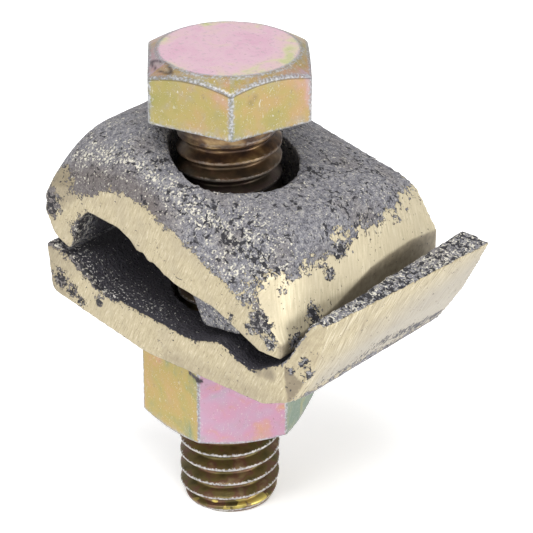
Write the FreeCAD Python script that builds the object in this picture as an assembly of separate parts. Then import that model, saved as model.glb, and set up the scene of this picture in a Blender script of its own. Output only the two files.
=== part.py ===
import FreeCAD, Part
import math
import os

# Cable to plate ground connector: two castings closed on a cable by one hex bolt and nut.
# Millimetres. +Z runs up the bolt to its head, +X goes across the clamp to the cable groove,
# and +Y runs along the cable. The origin is on the bolt's axis at the underside of the base.

# Bolt: hex head cap screw, threaded to the head
bolt_diameter = 9.525
bolt_length = 40.4
bolt_tail = 9.35
neck_diameter = 8.7
neck_length = 2.3
neck_fillet = 1.1
neck_taper = 0.5
point_diameter = 8.4
point_length = 1.5
head_flats = 14.29
head_height = 5.4
head_corner_drop = 1.05
head_face_diameter = 12.7
head_turn = -47.6

# Nut
nut_flats = 14.29
nut_height = 8.6
nut_corner_drop = 0.5
nut_face_diameter = 14.0
nut_turn = -69.2
nut_gap = 0.35
thread_fit = 0.05

# Lengths of both castings along the cable, from the bolt's axis to their ground ends
front_reach = 9.3
back_reach = 12.8

# Base casting: a dished plate with a rim, a hump, the cable groove and a flared lip
base_left = 14.4
rim_height = 7.5
rim_shelf_height = 6.4
rim_shelf_width = 4.4
rim_foot_width = 6.3
rim_side_height = 5.15
rim_lean = 0.6
rim_edge_radius = 0.5
rim_shelf_radius = 1.2
rim_foot_radius = 1.8
dish_height = 4.55
dish_low_height = 3.4
dish_low_x = 3.6
dish_radius = 3.0
hump_x = 7.0
hump_height = 4.35
hump_radius = 1.3
groove_x = 10.3
groove_height = 2.75
groove_radius = 2.4
lip_root_x = 14.4
lip_root_height = 5.1
lip_root_radius = 2.5
lip_front_rise = 3.8
lip_back_rise = 5.3
lip_front_lean = 1.5
lip_back_lean = 2.5
lip_front_top_width = 0.8
lip_back_top_width = 3.1
lip_front_top_fall = 0.6
lip_back_top_fall = 0.35
lip_edge_radius = 0.4
lip_belly_height = 4.5
lip_belly_radius = 4.0
lip_front_belly = 1.8
lip_back_belly = 2.9
seat_right = 14.4
seat_left = 2.2
sole_radius = 6.0
base_edge_radius = 1.0
lip_foot_radius = 1.35
base_hole_clearance = 0.45
corner_facet_angle = 44.0
corner_cut_width = 2.5
corner_cut_slope = 25.0
corner_cut_turn = 27.0

# Clearances between the castings
spine_gap = 0.3
nose_gap = 0.35
saddle_inset = 0.1

# Saddle casting: heights are above the lower edge of its spine, over the base's hump
shoulder_height = 13.4
shoulder_radius = 4.6
crown_height = 14.9
crown_x = -7.0
crown_radius = 6.0
flank_height = 10.2
flank_width = 2.8
flank_radius = 3.6
foot_height = 2.8
foot_width = 3.0
foot_bevel_width = 1.1
foot_bevel_rise = 0.8
foot_bevel_height = 2.8
foot_radius = 1.6
nose_height = 0.5
nose_width = 2.6
nose_bevel = 0.3
arch_height = 7.35
arch_radius = 1.6
arch_wall = 5.0
arch_fall = 0.4
arch_top_x = -5.2
arch_top_radius = 2.0
arch_right_x = 1.6
arch_right_height = 3.6
arch_right_radius = 2.5
jaw_x = 6.2
jaw_height = 2.9
jaw_radius = 1.0
saddle_hole_clearance = 1.08
saddle_hole_x = 0.4
saddle_hole_y = 0.2

# Drop of the saddle's roof from the middle to its ground ends
front_shoulder_drop = 5.2
front_crown_drop = 3.8
front_crown_shift = 3.5
front_flank_drop = 6.1
back_shoulder_drop = 3.0
back_crown_drop = 2.2
back_flank_drop = 1.4
end_roundness = 3.4
front_shoulder_radius = 1.8

# Sections of the saddle between the bolt and each end: shares of the way, and the height of the
# flank's foot at each
near_station = 0.25
far_station = 0.7
front_end_flank_foot = 2.05
front_far_flank_foot = 2.1
front_near_flank_foot = 2.8
back_near_flank_foot = 4.7
back_far_flank_foot = 5.2
back_end_flank_foot = 4.8

# Spine along the saddle's underside
spine_setback = 1.0
spine_left_width = 2.9
spine_right_width = 1.5
spine_right_rise = 0.5
spine_flare = 2.1
spine_right_spread = 0.6
spine_left_root = 1.2
spine_right_root = 0.4
spine_radius = 0.7
spine_root_radius = 0.3

# Largest share of an outline's side that the rounding of one corner may take
rounding_share = 0.48


def rounded_wire(corners, y):
    """Closed wire in the plane y. Each corner (x, z, radius) is rounded, or sharp at radius 0."""
    count = len(corners)
    arcs = []
    for index in range(count):
        x, z, radius = corners[index]
        corner = FreeCAD.Vector(x, y, z)
        before = corners[index - 1]
        after = corners[(index + 1) % count]
        to_before = FreeCAD.Vector(before[0], y, before[1]) - corner
        to_after = FreeCAD.Vector(after[0], y, after[1]) - corner
        half_angle = to_before.getAngle(to_after) / 2.0
        shortest = min(to_before.Length, to_after.Length)
        tangent = min(radius / math.tan(half_angle), rounding_share * shortest)
        radius = tangent * math.tan(half_angle)
        to_before.normalize()
        to_after.normalize()
        bisector = to_before + to_after
        bisector.normalize()
        start = corner + to_before * tangent
        end = corner + to_after * tangent
        middle = corner + bisector * (radius / math.sin(half_angle) - radius)
        arcs.append((start, middle, end))
    edges = []
    for index in range(count):
        start, middle, end = arcs[index]
        if corners[index][2] > 0.0:
            edges.append(Part.Arc(start, middle, end).toShape())
        edges.append(Part.makeLine(end, arcs[(index + 1) % count][0]))
    return Part.Wire(edges)


def prism(corners, y_start, y_end):
    """Rounded outline carried straight along the cable's direction."""
    face = Part.Face(rounded_wire(corners, y_start))
    return face.extrude(FreeCAD.Vector(0, y_end - y_start, 0))


def upright(radius, z_bottom, z_top, x=0.0, y=0.0):
    """Cylinder along the bolt's direction."""
    return Part.makeCylinder(radius, z_top - z_bottom, FreeCAD.Vector(x, y, z_bottom))


def turned(profile):
    """Solid turned about the bolt's axis from an outline of (radius, z) points."""
    points = [FreeCAD.Vector(radius, 0, z) for radius, z in profile]
    face = Part.Face(Part.makePolygon(points + [points[0]]))
    return face.revolve(FreeCAD.Vector(0, 0, 0), FreeCAD.Vector(0, 0, 1), 360)


def hex_corner(flats):
    """Distance from the axis to a corner of a hexagon."""
    return flats / math.sqrt(3.0)


def hexagon(flats, turn, z_bottom, z_top):
    """Hexagonal prism on the bolt's axis with its first corner at the angle turn."""
    corner_radius = hex_corner(flats)
    points = []
    for index in range(7):
        angle = math.radians(turn + 60.0 * index)
        x = corner_radius * math.cos(angle)
        y = corner_radius * math.sin(angle)
        points.append(FreeCAD.Vector(x, y, z_bottom))
    face = Part.Face(Part.makePolygon(points))
    return face.extrude(FreeCAD.Vector(0, 0, z_top - z_bottom))


def lip_corners(rise, lean, top_width, top_fall, belly):
    """Right half of the base's section: groove side of the lip, its top, outer side and foot."""
    top_x = lip_root_x + lean
    top_z = lip_root_height + rise
    return [
        (lip_root_x, lip_root_height, lip_root_radius),
        (top_x, top_z, lip_edge_radius),
        (top_x + top_width, top_z - top_fall, 0.0),
        (seat_right + belly, lip_belly_height, lip_belly_radius),
        (seat_right, 0.0, lip_foot_radius),
    ]


def base_corners(rise, lean, top_width, top_fall, belly):
    """Section of the base across the cable."""
    left = [
        (-seat_left, 0.0, sole_radius),
        (rim_lean - base_left, rim_height - rim_side_height, base_edge_radius),
        (-base_left, rim_height, rim_edge_radius),
        (rim_shelf_width - base_left, rim_shelf_height, rim_shelf_radius),
        (rim_foot_width - base_left, dish_height, rim_foot_radius),
        (dish_low_x, dish_low_height, dish_radius),
        (hump_x, hump_height + hump_rounding(), hump_radius),
        (groove_x, groove_height, groove_radius),
    ]
    return left + lip_corners(rise, lean, top_width, top_fall, belly)


def hump_rounding():
    """Height that the hump's rounding takes off its sharp corner."""
    left_slope = math.atan2(hump_height - dish_low_height, hump_x - dish_low_x)
    right_slope = math.atan2(hump_height - groove_height, groove_x - hump_x)
    half_turn = (left_slope + right_slope) / 2.0
    return hump_radius * (1.0 / math.cos(half_turn) - 1.0)


def make_base():
    """Lower casting."""
    front = base_corners(
        lip_front_rise,
        lip_front_lean,
        lip_front_top_width,
        lip_front_top_fall,
        lip_front_belly,
    )
    back = base_corners(
        lip_back_rise,
        lip_back_lean,
        lip_back_top_width,
        lip_back_top_fall,
        lip_back_belly,
    )
    ends = [rounded_wire(front, -front_reach), rounded_wire(back, back_reach)]
    body = Part.makeLoft(ends, True, True)
    hole = upright(bolt_diameter / 2.0 + base_hole_clearance, 0.0, rim_height)
    return body.cut(hole).cut(corner_facet()).cut(corner_undercut())


def corner_facet():
    """Space in front of the upright facet at the lip's front corner."""
    depth = front_reach + back_reach
    space = Part.makeBox(depth, depth, depth, FreeCAD.Vector(0, -depth, 0))
    space.rotate(FreeCAD.Vector(0, 0, 0), FreeCAD.Vector(0, 0, 1), corner_facet_angle)
    space.translate(FreeCAD.Vector(lip_root_x, -front_reach, 0))
    return space


def corner_undercut():
    """Space under the cut that lifts that corner off the seat and runs out behind it."""
    depth = front_reach + back_reach
    space = Part.makeBox(depth, depth, depth, FreeCAD.Vector(0, -depth / 2.0, -depth))
    space.rotate(FreeCAD.Vector(0, 0, 0), FreeCAD.Vector(0, 1, 0), -corner_cut_slope)
    space.rotate(FreeCAD.Vector(0, 0, 0), FreeCAD.Vector(0, 0, 1), -corner_cut_turn)
    space.translate(FreeCAD.Vector(lip_root_x - corner_cut_width, -front_reach, 0))
    return space


def saddle_corners(station, flank_foot):
    """Outer section of the saddle, at a share of the way to its front or back end."""
    bearing = hump_height + spine_gap
    fall = abs(station) ** end_roundness
    if station < 0:
        drops = (front_shoulder_drop, front_crown_drop, front_flank_drop)
        crown_shift = fall * front_crown_shift
    else:
        drops = (back_shoulder_drop, back_crown_drop, back_flank_drop)
        crown_shift = 0.0
    left = -base_left + saddle_inset
    right = lip_root_x - nose_gap
    left_radius = shoulder_radius + fall * (front_shoulder_radius - shoulder_radius)
    return [
        (left + foot_width, bearing + foot_height, 0.0),
        (left + foot_bevel_width, bearing + foot_height + foot_bevel_rise, foot_radius),
        (left, bearing + foot_height + foot_bevel_height, foot_radius),
        (left, bearing + shoulder_height - fall * drops[0], left_radius),
        (crown_x + crown_shift, bearing + crown_height - fall * drops[1], crown_radius),
        (right - flank_width, bearing + flank_height - fall * drops[2], flank_radius),
        (right, bearing + flank_foot, 0.0),
        (right, bearing + nose_height + nose_bevel, 0.0),
        (right - nose_bevel, bearing + nose_height, 0.0),
        (right - nose_width, bearing + nose_height, 0.0),
    ]


def saddle_section(station, flank_foot):
    """Outer section as a wire at its place along the cable."""
    reach = front_reach if station < 0 else back_reach
    return rounded_wire(saddle_corners(station, flank_foot), station * reach)


def arch_corners():
    """Outline of the straight hollow under the saddle, which runs out below its foot and nose."""
    bearing = hump_height + spine_gap
    foot_x = -base_left + saddle_inset + foot_width
    nose_x = lip_root_x - nose_gap - nose_width
    return [
        (foot_x, bearing + foot_height, 0.0),
        (foot_x + arch_wall - foot_width, bearing + arch_height, arch_radius),
        (arch_top_x, bearing + arch_height - arch_fall, arch_top_radius),
        (arch_right_x, bearing + arch_right_height, arch_right_radius),
        (jaw_x, bearing + jaw_height, jaw_radius),
        (nose_x, bearing + nose_height, 0.0),
        (nose_x, 0.0, 0.0),
        (foot_x, 0.0, 0.0),
    ]


def make_saddle():
    """Upper casting: a domed roof lofted through sections along the cable, over a straight arch."""
    front = [
        saddle_section(-1.0, front_end_flank_foot),
        saddle_section(-far_station, front_far_flank_foot),
        saddle_section(-near_station, front_near_flank_foot),
    ]
    back = [
        saddle_section(near_station, back_near_flank_foot),
        saddle_section(far_station, back_far_flank_foot),
        saddle_section(1.0, back_end_flank_foot),
    ]
    middle = Part.makeLoft([front[-1], back[0]], True, True)
    dome = middle.fuse([Part.makeLoft(front, True, False), Part.makeLoft(back, True, False)])
    arch = dome.cut(prism(arch_corners(), -2.0 * front_reach, 2.0 * back_reach))
    bearing = hump_height + spine_gap
    spine_left = hump_x - spine_left_width
    spine_right = hump_x + spine_right_width
    spine_top = bearing + jaw_height
    spine_outline = [
        (spine_left, bearing, spine_radius),
        (spine_right, bearing + spine_right_rise, spine_radius),
        (spine_right + spine_right_spread, spine_top + spine_right_root, spine_root_radius),
        (spine_left - spine_flare, spine_top + spine_left_root, spine_root_radius),
    ]
    spine = prism(spine_outline, spine_setback - front_reach, back_reach - spine_setback)
    hole = upright(
        bolt_diameter / 2.0 + saddle_hole_clearance,
        0.0,
        bearing + crown_height,
        saddle_hole_x,
        saddle_hole_y,
    )
    return arch.fuse(spine).cut(hole)


def make_nut():
    """Hex nut with the corners of both faces turned down."""
    corner_radius = hex_corner(nut_flats)
    face_radius = nut_face_diameter / 2.0
    top_z = -nut_gap
    bottom_z = top_z - nut_height
    turning = turned([
        (0.0, bottom_z),
        (face_radius, bottom_z),
        (corner_radius, bottom_z + nut_corner_drop),
        (corner_radius, top_z - nut_corner_drop),
        (face_radius, top_z),
        (0.0, top_z),
    ])
    blank = hexagon(nut_flats, nut_turn, bottom_z, top_z).common(turning)
    return blank.cut(upright(bolt_diameter / 2.0 + thread_fit, bottom_z, top_z))


def make_bolt():
    """Bolt with its head's corners turned down, a filleted neck and a reduced point."""
    end_z = -nut_gap - nut_height - bolt_tail
    seat_z = end_z + bolt_length
    top_z = seat_z + head_height
    corner_radius = hex_corner(head_flats)
    radius = bolt_diameter / 2.0
    head = hexagon(head_flats, head_turn, seat_z, top_z).common(turned([
        (0.0, seat_z),
        (corner_radius, seat_z),
        (corner_radius, top_z - head_corner_drop),
        (head_face_diameter / 2.0, top_z),
        (0.0, top_z),
    ]))
    shank = turned([
        (0.0, end_z),
        (point_diameter / 2.0, end_z),
        (radius, end_z + point_length),
        (radius, seat_z - neck_length),
        (neck_diameter / 2.0, seat_z - neck_length + neck_taper),
        (neck_diameter / 2.0, seat_z - neck_fillet),
        (neck_diameter / 2.0 + neck_fillet, seat_z),
        (0.0, seat_z),
    ])
    return head.fuse(shank).removeSplitter()


pieces = {
    "clamp_base": make_base(),
    "clamp_saddle": make_saddle(),
    "hex_bolt": make_bolt(),
    "hex_nut": make_nut(),
}

os.makedirs("parts", exist_ok=True)
for name, shape in pieces.items():
    shape.exportStep("parts/" + name + ".step")
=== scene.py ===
import math

import bmesh
import bpy
import numpy as np
from mathutils import Matrix, Vector, noise


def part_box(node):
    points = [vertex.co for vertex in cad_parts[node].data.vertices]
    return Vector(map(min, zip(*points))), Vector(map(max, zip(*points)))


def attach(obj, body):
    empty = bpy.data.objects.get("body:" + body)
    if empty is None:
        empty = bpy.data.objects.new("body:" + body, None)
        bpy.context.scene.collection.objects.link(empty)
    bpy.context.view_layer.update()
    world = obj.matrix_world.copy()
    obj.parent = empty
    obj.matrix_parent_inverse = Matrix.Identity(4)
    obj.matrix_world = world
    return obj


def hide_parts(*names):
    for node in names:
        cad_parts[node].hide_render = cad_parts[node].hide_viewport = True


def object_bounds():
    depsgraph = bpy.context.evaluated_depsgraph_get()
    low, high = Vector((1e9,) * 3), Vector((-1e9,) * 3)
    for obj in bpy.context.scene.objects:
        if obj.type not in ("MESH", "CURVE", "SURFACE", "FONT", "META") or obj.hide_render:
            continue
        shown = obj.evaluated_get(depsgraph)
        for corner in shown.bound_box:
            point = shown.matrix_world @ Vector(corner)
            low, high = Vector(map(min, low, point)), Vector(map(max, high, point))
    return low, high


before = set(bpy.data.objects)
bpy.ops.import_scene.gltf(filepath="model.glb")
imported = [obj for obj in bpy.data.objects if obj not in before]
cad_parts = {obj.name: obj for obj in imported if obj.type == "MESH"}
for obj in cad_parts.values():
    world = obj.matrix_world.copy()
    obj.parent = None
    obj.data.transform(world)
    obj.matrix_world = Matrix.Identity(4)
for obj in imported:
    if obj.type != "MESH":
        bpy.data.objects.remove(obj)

# Cable to plate ground connector: two rough bronze castings, a plated hex bolt and its nut.
# Metres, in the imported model's frame. Shape work on the castings is in millimetres.
MM = 0.001
cad_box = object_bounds()
scene = bpy.context.scene

# Camera, fitted to the photograph
view_azimuth = math.radians(40.169)
view_elevation = math.radians(27.711)
view_roll = math.radians(0.334)
view_distance = 219.593 * MM
view_shift_right = 3.443 * MM
view_shift_up = 5.171 * MM
lens = 159.33
sensor_width = 36.0

# Studio. A lamp has a name, an azimuth and an elevation in degrees, a distance and a width in
# metres, and a power in watts.
floor_half_width = 1.5
floor_gap = 0.1 * MM
world_strength = 0.5
lamps = [
    ("right_lamp", 96.0, 16.0, 0.5, 0.12, 0.95),
    ("top_lamp", 30.0, 66.0, 0.55, 0.3, 2.6),
    ("front_lamp", -8.0, 30.0, 0.6, 0.25, 0.7),
]

# Castings. Lengths are in millimetres, but for the voxels.
voxel_size = 0.2 * MM
front_y = -9.3
back_y = 12.8
middle_y = (front_y + back_y) / 2.0

# How far behind an end face its fields reach, and their cap, which lets rough spots break in
end_reach = 0.4
most_ground = 0.95

# Facet across the lip's front corner: where it leaves the front face, and the way it faces
facet_x = 14.4
facet_normal = np.array((0.695, -0.719, 0.0))

# Relief. Skin and ground metal both sink a little, so that lumps stay inside the CAD's box.
lump_height = 0.055
small_lump_height = 0.045
swell_height = 0.05
skin_gain = 1.35
pit_bend = 0.32
pit_depth = 0.26
small_pit_depth = 0.12
ground_pit_depth = 0.16
skin_sink = 0.05
ground_sink = 0.01
burr_length = 0.5

# Spots: x, y, z and radius in millimetres
saddle_rough_spots = [
    (-13.4, front_y, 11.2, 2.0),
    (-8.9, front_y, 10.9, 1.8),
    (-10.2, front_y, 9.9, 1.6),
    (11.5, front_y, 7.7, 1.9),
    (8.2, front_y, 7.3, 0.8),
    (10.5, front_y, 7.0, 1.0),
    (12.6, front_y, 6.4, 1.0),
    (13.9, -4.6, 7.7, 1.6),
    (13.6, -7.2, 6.3, 1.6),
    (13.2, -1.5, 10.3, 1.1),
    (12.6, 0.3, 11.6, 1.2),
]
saddle_left_patch = [(-12.3, -9.1, 13.4, 2.5)]
saddle_over_flank = [(12.5, -3.5, 10.9, 2.1), (11.9, 0.7, 12.3, 1.6)]
saddle_worn_corners = [(-14.3, -7.4, 11.2, 2.0), (12.2, -8.6, 8.6, 2.2)]
arch_burrs = [
    (-2.8, front_y, 10.7, 0.9),
    (-1.4, front_y, 10.1, 0.7),
    (0.6, front_y, 9.5, 0.8),
]
base_rough_spots = [
    (-12.6, front_y, 4.0, 1.7),
    (-11.3, front_y, 3.2, 1.4),
    (-9.8, front_y, 6.2, 1.6),
    (-8.2, front_y, 5.4, 1.2),
    (-6.2, front_y, 4.7, 1.1),
    (-10.2, front_y, 2.5, 1.2),
    (-7.7, front_y, 3.1, 0.9),
    (-14.3, -8.0, 4.0, 2.2),
    (15.6, -8.1, 5.0, 0.8),
    (15.9, -7.7, 3.6, 1.0),
    (14.9, -8.9, 4.3, 0.6),
    (15.0, -7.6, 7.3, 1.0),
]
base_under_groove = [(12.6, front_y, 3.4, 1.1), (11.4, front_y, 3.2, 0.8)]
head_smudges = [(6.15, -4.2, 25.4, 0.5), (6.3, -3.8, 25.8, 0.45)]
# Painted shade in the gap between the nut's top corner and the base
nut_gap_shade_spots = [
    (1.8, -7.6, -1.45, 0.3),
    (2.3, -7.7, -1.6, 0.34),
    (2.8, -7.75, -1.75, 0.34),
    (3.2, -7.6, -1.9, 0.3),
]

# Nick on the head's chamfer, in millimetres
scar_center = np.array((-2.1, -6.48, 27.12))
scar_direction = np.array((0.96, -0.28, 0.02))
scar_half_length = 2.1
scar_half_width = 0.6

# Bolt and nut
bolt_radius = 4.7625 * MM
thread_pitch = 1.5875 * MM
thread_depth = 0.9 * MM
thread_phase_z = -13.33 * MM
head_height = 5.4 * MM
head_flats = 14.29 * MM
head_face_radius = 6.35 * MM
head_corner_drop = 1.05 * MM
head_corner_angle = math.radians(-47.6)
head_bevel = 0.14 * MM
head_wear_width = 0.4 * MM
neck_length = 2.3 * MM
neck_radius = 4.35 * MM
neck_fillet = 1.1 * MM
run_out = 0.9 * MM
point_radius = 4.2 * MM
point_length = 1.5 * MM
nut_flats = 14.29 * MM
nut_face_radius = 7.0 * MM
nut_corner_drop = 0.5 * MM
nut_corner_angle = math.radians(-69.2)
nut_wear_width = 0.25 * MM
bore_radius = 4.8125 * MM
countersink = 0.45 * MM
corner_rounding = 0.3 * MM
hex_columns = 432
thread_columns = 96
sixth_turn = math.pi / 3.0

# Drop of the chamfers for each length outwards
head_slope = head_corner_drop / (head_flats / math.sqrt(3.0) - head_face_radius)
nut_slope = nut_corner_drop / (nut_flats / math.sqrt(3.0) - nut_face_radius)

# Places in the plating's colours, one for each side, and how far they rise across a side
head_tints = (0.38, 0.4, 0.36, 0.6, 0.35, 0.36)
head_tint_slant = 0.24
nut_tints = (0.74, 0.04, 0.42, 0.66, 0.3, 0.34)
nut_tint_slant = -0.1

# Level direction from the bolt's axis to the side of its neck that is painted in shade
shaded_neck_side = np.array((-0.766, -0.643, 0.0))

# Small dents in the plated steel, in millimetres
nick_depth = 0.11
wave_height = 0.012
crest_dent_depth = 0.12


# Helpers for numbers at points

def unit(values):
    """Values held between 0 and 1."""
    return np.clip(values, 0.0, 1.0)


def fade(values, zero_at, one_at):
    """0 where the values reach zero_at, 1 where they reach one_at, and even between."""
    return unit((values - zero_at) / (one_at - zero_at))


def smooth(share):
    """Share from 0 to 1, eased at both ends."""
    return share * share * (3.0 - 2.0 * share)


def noise_array(points, size, seed):
    """Smooth noise from -1 to 1, with lumps about the given size in the points' unit."""
    offset = Vector((seed * 17.3, seed * 5.1, seed * 29.7))
    return np.array([noise.noise(Vector(point) / size + offset) for point in points])


def pit_array(points, size, radius, seed):
    """1 in the middle of scattered round pits, down to 0 at their rims."""
    offset = Vector((seed * 13.7, seed * 31.9, seed * 7.3))
    pits = np.empty(len(points))
    for index, point in enumerate(points):
        distance = noise.voronoi(Vector(point) / size + offset)[0][0] * size
        pits[index] = max(0.0, 1.0 - distance / radius)
    return smooth(pits)


def spot_array(points, spots):
    """1 at the middle of listed spots (x, y, z, radius), fading to 0 at their radius."""
    strength = np.zeros(len(points))
    for x, y, z, radius in spots:
        distance = np.linalg.norm(points - np.array((x, y, z)), axis=1)
        strength = np.maximum(strength, fade(distance, radius, 0.0))
    return strength


def triangle_share(points, corners, softness):
    """1 inside a triangle, 0 outside, for points given in the triangle's plane."""
    share = np.ones(len(points))
    for index in range(3):
        start = np.array(corners[index])
        along = np.array(corners[(index + 1) % 3]) - start
        inward = np.array((-along[1], along[0])) / np.linalg.norm(along)
        share = np.minimum(share, unit(0.5 + (points - start) @ inward / softness))
    return share


def from_axis(points):
    """Distance of each point from the bolt's axis, and the level direction away from it."""
    outward = points * np.array((1.0, 1.0, 0.0))
    reach = np.maximum(np.linalg.norm(outward, axis=1), 0.01)
    return reach, outward / reach[:, None]


# Mesh helpers

def new_object(name, mesh):
    piece = bpy.data.objects.new(name, mesh)
    scene.collection.objects.link(piece)
    return piece


def store(mesh, fields):
    """A number for each vertex under each name, which the materials read."""
    for name, values in fields.items():
        layer = mesh.attributes.new(name, "FLOAT", "POINT")
        layer.data.foreach_set("value", np.ascontiguousarray(values, dtype=np.float32))


def points_of(mesh):
    """The mesh's vertices in millimetres."""
    points = np.empty(len(mesh.vertices) * 3)
    mesh.vertices.foreach_get("co", points)
    return points.reshape(-1, 3) / MM


def move_points(mesh, points):
    """Set the mesh's vertices, given in millimetres."""
    mesh.vertices.foreach_set("co", (points * MM).ravel())
    mesh.update()


def normals_of(mesh):
    normals = np.empty(len(mesh.vertices) * 3)
    mesh.vertex_normals.foreach_get("vector", normals)
    return normals.reshape(-1, 3)


def remeshed_copy(node, name):
    """Fine, even mesh over a CAD casting, as an object of its own."""
    draft = new_object(name + "_draft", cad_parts[node].data.copy())
    remesh = draft.modifiers.new("remesh", "REMESH")
    remesh.mode = "VOXEL"
    remesh.voxel_size = voxel_size
    depsgraph = bpy.context.evaluated_depsgraph_get()
    mesh = bpy.data.meshes.new_from_object(draft.evaluated_get(depsgraph))
    mesh.name = name
    bpy.data.objects.remove(draft)
    mesh.materials.clear()
    mesh.shade_smooth()
    return new_object(name, mesh)


def close_mesh(mesh, merge_distance, cuts=()):
    """Merge doubled points, cut flat at each (z, direction to clear), and turn faces outward."""
    build = bmesh.new()
    build.from_mesh(mesh)
    bmesh.ops.remove_doubles(build, verts=build.verts, dist=merge_distance)
    for level, direction in cuts:
        everything = build.verts[:] + build.edges[:] + build.faces[:]
        cut = bmesh.ops.bisect_plane(
            build,
            geom=everything,
            plane_co=(0.0, 0.0, level),
            plane_no=(0.0, 0.0, direction),
            clear_outer=True,
        )
        rim = [item for item in cut["geom_cut"] if isinstance(item, bmesh.types.BMEdge)]
        bmesh.ops.edgeloop_fill(build, edges=rim)
    bmesh.ops.recalc_face_normals(build, faces=build.faces)
    build.to_mesh(mesh)
    build.free()
    mesh.shade_smooth()


# Castings. Their points carry numbers for the material: ground (bare metal above 0, cast skin
# below), dark (soot, and painted shade in the hollows), rough, sparkle (share of bright
# specks, which are metal flecks and painted glints), stain (stains, and painted shade
# under the saddle's flank), brown and pale (hues), gray (greyer, a painted sheen low on the
# base's lip), hatch (marks), sideways (turned to the left or right), relief (height of the skin)
# and pitted.

def end_depth(points, end_y):
    """How far each point lies below the top edge of the end face at end_y, slot by slot."""
    left_x = -15.0
    slot_width = 0.4
    slot_count = 100
    x, y, z = points.T
    slots = np.clip(((x - left_x) / slot_width).astype(int), 0, slot_count - 1)
    tops = np.full(slot_count, -99.0)
    at_end = np.abs(y - end_y) < 0.15
    np.maximum.at(tops, slots[at_end], z[at_end])
    return tops[slots] - z


def end_face_field(points, normals, margin):
    """Above 0 on the ground ends across the cable, down from a ragged margin of cast skin."""
    y = points[:, 1]
    to_front = np.abs(y - front_y)
    to_back = np.abs(y - back_y)
    depth = np.where(to_front < to_back, end_depth(points, front_y), end_depth(points, back_y))
    near_end = np.minimum(to_front, to_back) < end_reach
    flat = (np.abs(normals[:, 1]) - 0.62) * 3.0
    return np.where(near_end, np.minimum(flat, (depth - margin) * 1.3), -1.0)


def lip_shadow_strip(points):
    """1 on the dull strip under the saddle's ground flank, darkened there as painted shade of the
    lip's shadow; its upper edge climbs to the back.
    """
    x, y, z = points.T
    along = (front_y, -6.5, -2.3, 3.2, 9.0, back_y)
    edge = np.interp(y, along, (6.7, 6.75, 7.45, 9.35, 9.85, 9.45))
    return fade(z - edge, 0.125, -0.125) * fade(x, 13.6, 13.8)


def spot_glints(spots):
    """Bright specks on the rough spots, painted glints and metal flecks."""
    return 0.3 * np.minimum(2.0 * spots, 1.0)


def saddle_fields(points, normals):
    """Numbers that the saddle's relief and material read, by name."""
    x, y, z = points.T
    normal_x, _, normal_z = normals.T
    ragged = noise_array(points, 1.3, 1) * 0.9 + noise_array(points, 0.45, 2) * 0.5
    flank_top = 12.0 + 0.09 * y + 1.2 * ragged
    flank = np.minimum.reduce([(flank_top - z) * 0.8, (normal_x - 0.25) * 3.0, (x - 9.5) * 0.8])
    left_patch = spot_array(points, saddle_left_patch)
    over_flank = spot_array(points, saddle_over_flank)
    corners = spot_array(points, saddle_worn_corners)
    worn_spots = np.maximum.reduce([corners, left_patch, over_flank])
    worn = np.minimum(0.9 * worn_spots - 0.25, 6.0 * worn_spots - 1.3) + 0.3 * ragged
    margin = 0.3 + 0.75 * fade(x, -7.0, -10.0) + 0.35 * ragged
    ground = np.maximum.reduce([end_face_field(points, normals, margin), flank, worn])
    spots = spot_array(points, saddle_rough_spots)
    ground = np.minimum(ground, most_ground) - 1.85 * spots
    under = fade(-normal_z, 0.05, 0.3)
    inside = fade(np.abs(y - middle_y), 10.9, 9.3)
    roof = fade(normal_z, 0.2, 0.45)
    ridge = np.exp(-(((y + 7.2) / 0.9) ** 2)) * fade(x, -13.0, -11.0) * roof
    nose = fade(x, 2.0, 7.0) * fade(y, -3.0, -6.0)
    right = fade(x, 2.5, 6.5) * fade(y, -2.0, 2.0)
    left_wall = fade(x, -9.0, -10.0) * fade(y, -6.0, -7.5) * under
    pitted_ridge = ridge * np.maximum(fade(x, -10.0, -3.0), 0.15)
    rough = 0.3 + 1.6 * spots + 0.6 * pitted_ridge + 0.2 * nose + 0.35 * right + 0.7 * left_wall
    nothing = np.zeros(len(points))
    return {
        "ground": np.clip(ground, -1.0, 1.0),
        # Soot and painted shade in the hollow under the saddle, left out on its lit left wall
        "dark": under * inside * np.where(x < -6.5, fade(y, -8.6, -6.1), 1.0),
        "rough": rough,
        "sparkle": np.maximum.reduce([ridge, 0.6 * nose, left_wall, spot_glints(spots)]),
        # Stains, and painted shade from the lip's shadow on the strip under the flank
        "stain": np.maximum(0.8 * lip_shadow_strip(points), np.minimum(1.4 * left_patch, 0.6)),
        "brown": fade(y, -7.6, -8.6) * fade(x, 3.0, -1.0),
        "pale": unit(np.maximum((flank + 0.2) * 3.0, 4.0 * over_flank)),
        "gray": nothing,
        "hatch": nothing,
    }


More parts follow.
